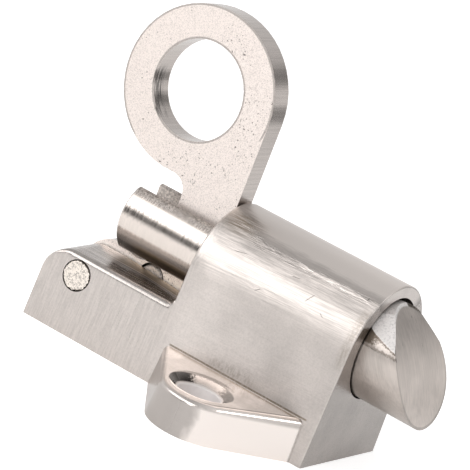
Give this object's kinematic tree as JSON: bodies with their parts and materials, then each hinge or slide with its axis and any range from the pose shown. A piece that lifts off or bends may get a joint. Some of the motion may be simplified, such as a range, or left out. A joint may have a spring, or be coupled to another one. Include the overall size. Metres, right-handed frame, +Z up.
{
  "type": "slam latch",
  "caption": "Surface-mounted slam latch: die-cast housing with two screw ears, spring bolt with a curved slam face, and a flat pull-ring lever that draws the bolt back.",
  "frame": {"origin": "on the underside of the base, midway between the two screw holes", "axes": "+X the way the bolt points, +Y across the latch towards the far ear, +Z up from the mounting surface"},
  "size_m": [0.0622, 0.0506, 0.0508],
  "materials": {
    "housing": "nickel-plated zinc casting, brushed satin, ears and cheek tops polished",
    "bolt": "turned steel, polished stem, brushed slam face",
    "lever": "blasted and plated flat faces with small pits, brushed edges",
    "pins": "peened, dull",
    "spring": "bright spring wire"
  },
  "bodies": {
    "housing": {"housing": "housing", "pivot_pin": "pins"},
    "bolt": {"bolt": "bolt", "drive_pin": "pins", "return_spring": "spring"},
    "lever": {"pull_ring_lever": "lever", "lever_rivet": "pins"}
  },
  "joints": [
    {"name": "bolt_slide", "type": "slide", "parent": "housing", "child": "bolt", "axis": [-1, 0, 0], "range_m": [0, 0.009], "stiffness_N_per_m": 600, "springref_m": -0.012, "deforming": ["return_spring"]},
    {"name": "lever_swing", "type": "hinge", "parent": "housing", "child": "lever", "pos_m": [-0.0283, 0, 0.0085], "axis": [0, -1, 0], "range_deg": [0, 28]}
  ],
  "couplings": [
    {"joint": "lever_swing", "follows": "bolt_slide", "rad_per_m": 54.299}
  ]
}
